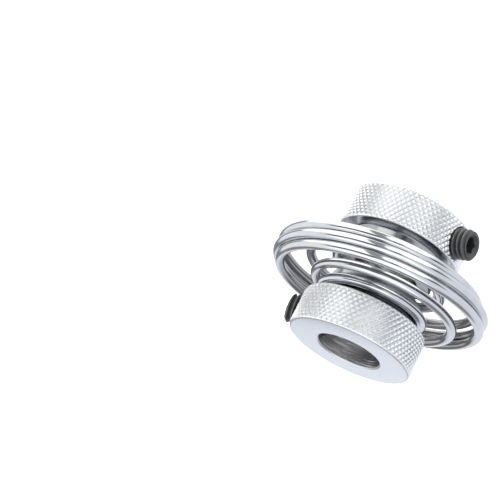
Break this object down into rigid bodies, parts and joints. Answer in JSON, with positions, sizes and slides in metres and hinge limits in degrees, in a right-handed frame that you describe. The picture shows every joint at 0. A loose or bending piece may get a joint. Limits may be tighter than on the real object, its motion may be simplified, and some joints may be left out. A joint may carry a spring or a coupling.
{
  "type": "spring coupling",
  "caption": "Flexible shaft coupling: knurled hubs with set screws, joined end to end by a wide coiled wire spring that bends to take up misalignment.",
  "frame": {"origin": "middle of the lower hub's end face, on the shaft axis, where the part stands", "axes": "+Z along the shaft axis from the lower hub to the upper hub, +X towards the upper hub's set screw"},
  "size_m": [0.0434, 0.0434, 0.0305],
  "materials": {
    "plated_steel": "bright zinc plate on turned and knurled steel",
    "bright_wire": "bright plated spring wire",
    "black_oxide": "black oxide, slightly oily"
  },
  "bodies": {
    "lower_hub": {"lower_hub": "plated_steel"},
    "spring": {"spring": "bright_wire"},
    "upper_hub": {"upper_hub": "plated_steel"},
    "lower_set_screw": {"lower_set_screw": "black_oxide"},
    "upper_set_screw": {"upper_set_screw": "black_oxide"}
  },
  "joints": [
    {"name": "flex_x", "type": "hinge", "parent": "lower_hub", "child": "spring", "pos_m": [0, 0, 0.01644], "axis": [1, 0, 0], "range_deg": [-6, 6], "stiffness_Nm_per_rad": 0.2, "deforming": ["spring"]},
    {"name": "flex_y", "type": "hinge", "parent": "spring", "child": "upper_hub", "pos_m": [0, 0, 0.01644], "axis": [0, 1, 0], "range_deg": [-6, 6], "stiffness_Nm_per_rad": 0.2, "deforming": ["spring"]},
    {"name": "lower_screw_travel", "type": "slide", "parent": "lower_hub", "child": "lower_set_screw", "axis": [-0.9063, -0.4226, 0], "range_m": [-0.00285, 0.00125]},
    {"name": "upper_screw_travel", "type": "slide", "parent": "upper_hub", "child": "upper_set_screw", "axis": [1, 0, 0], "range_m": [-0.0016, 0.0025]}
  ]
}
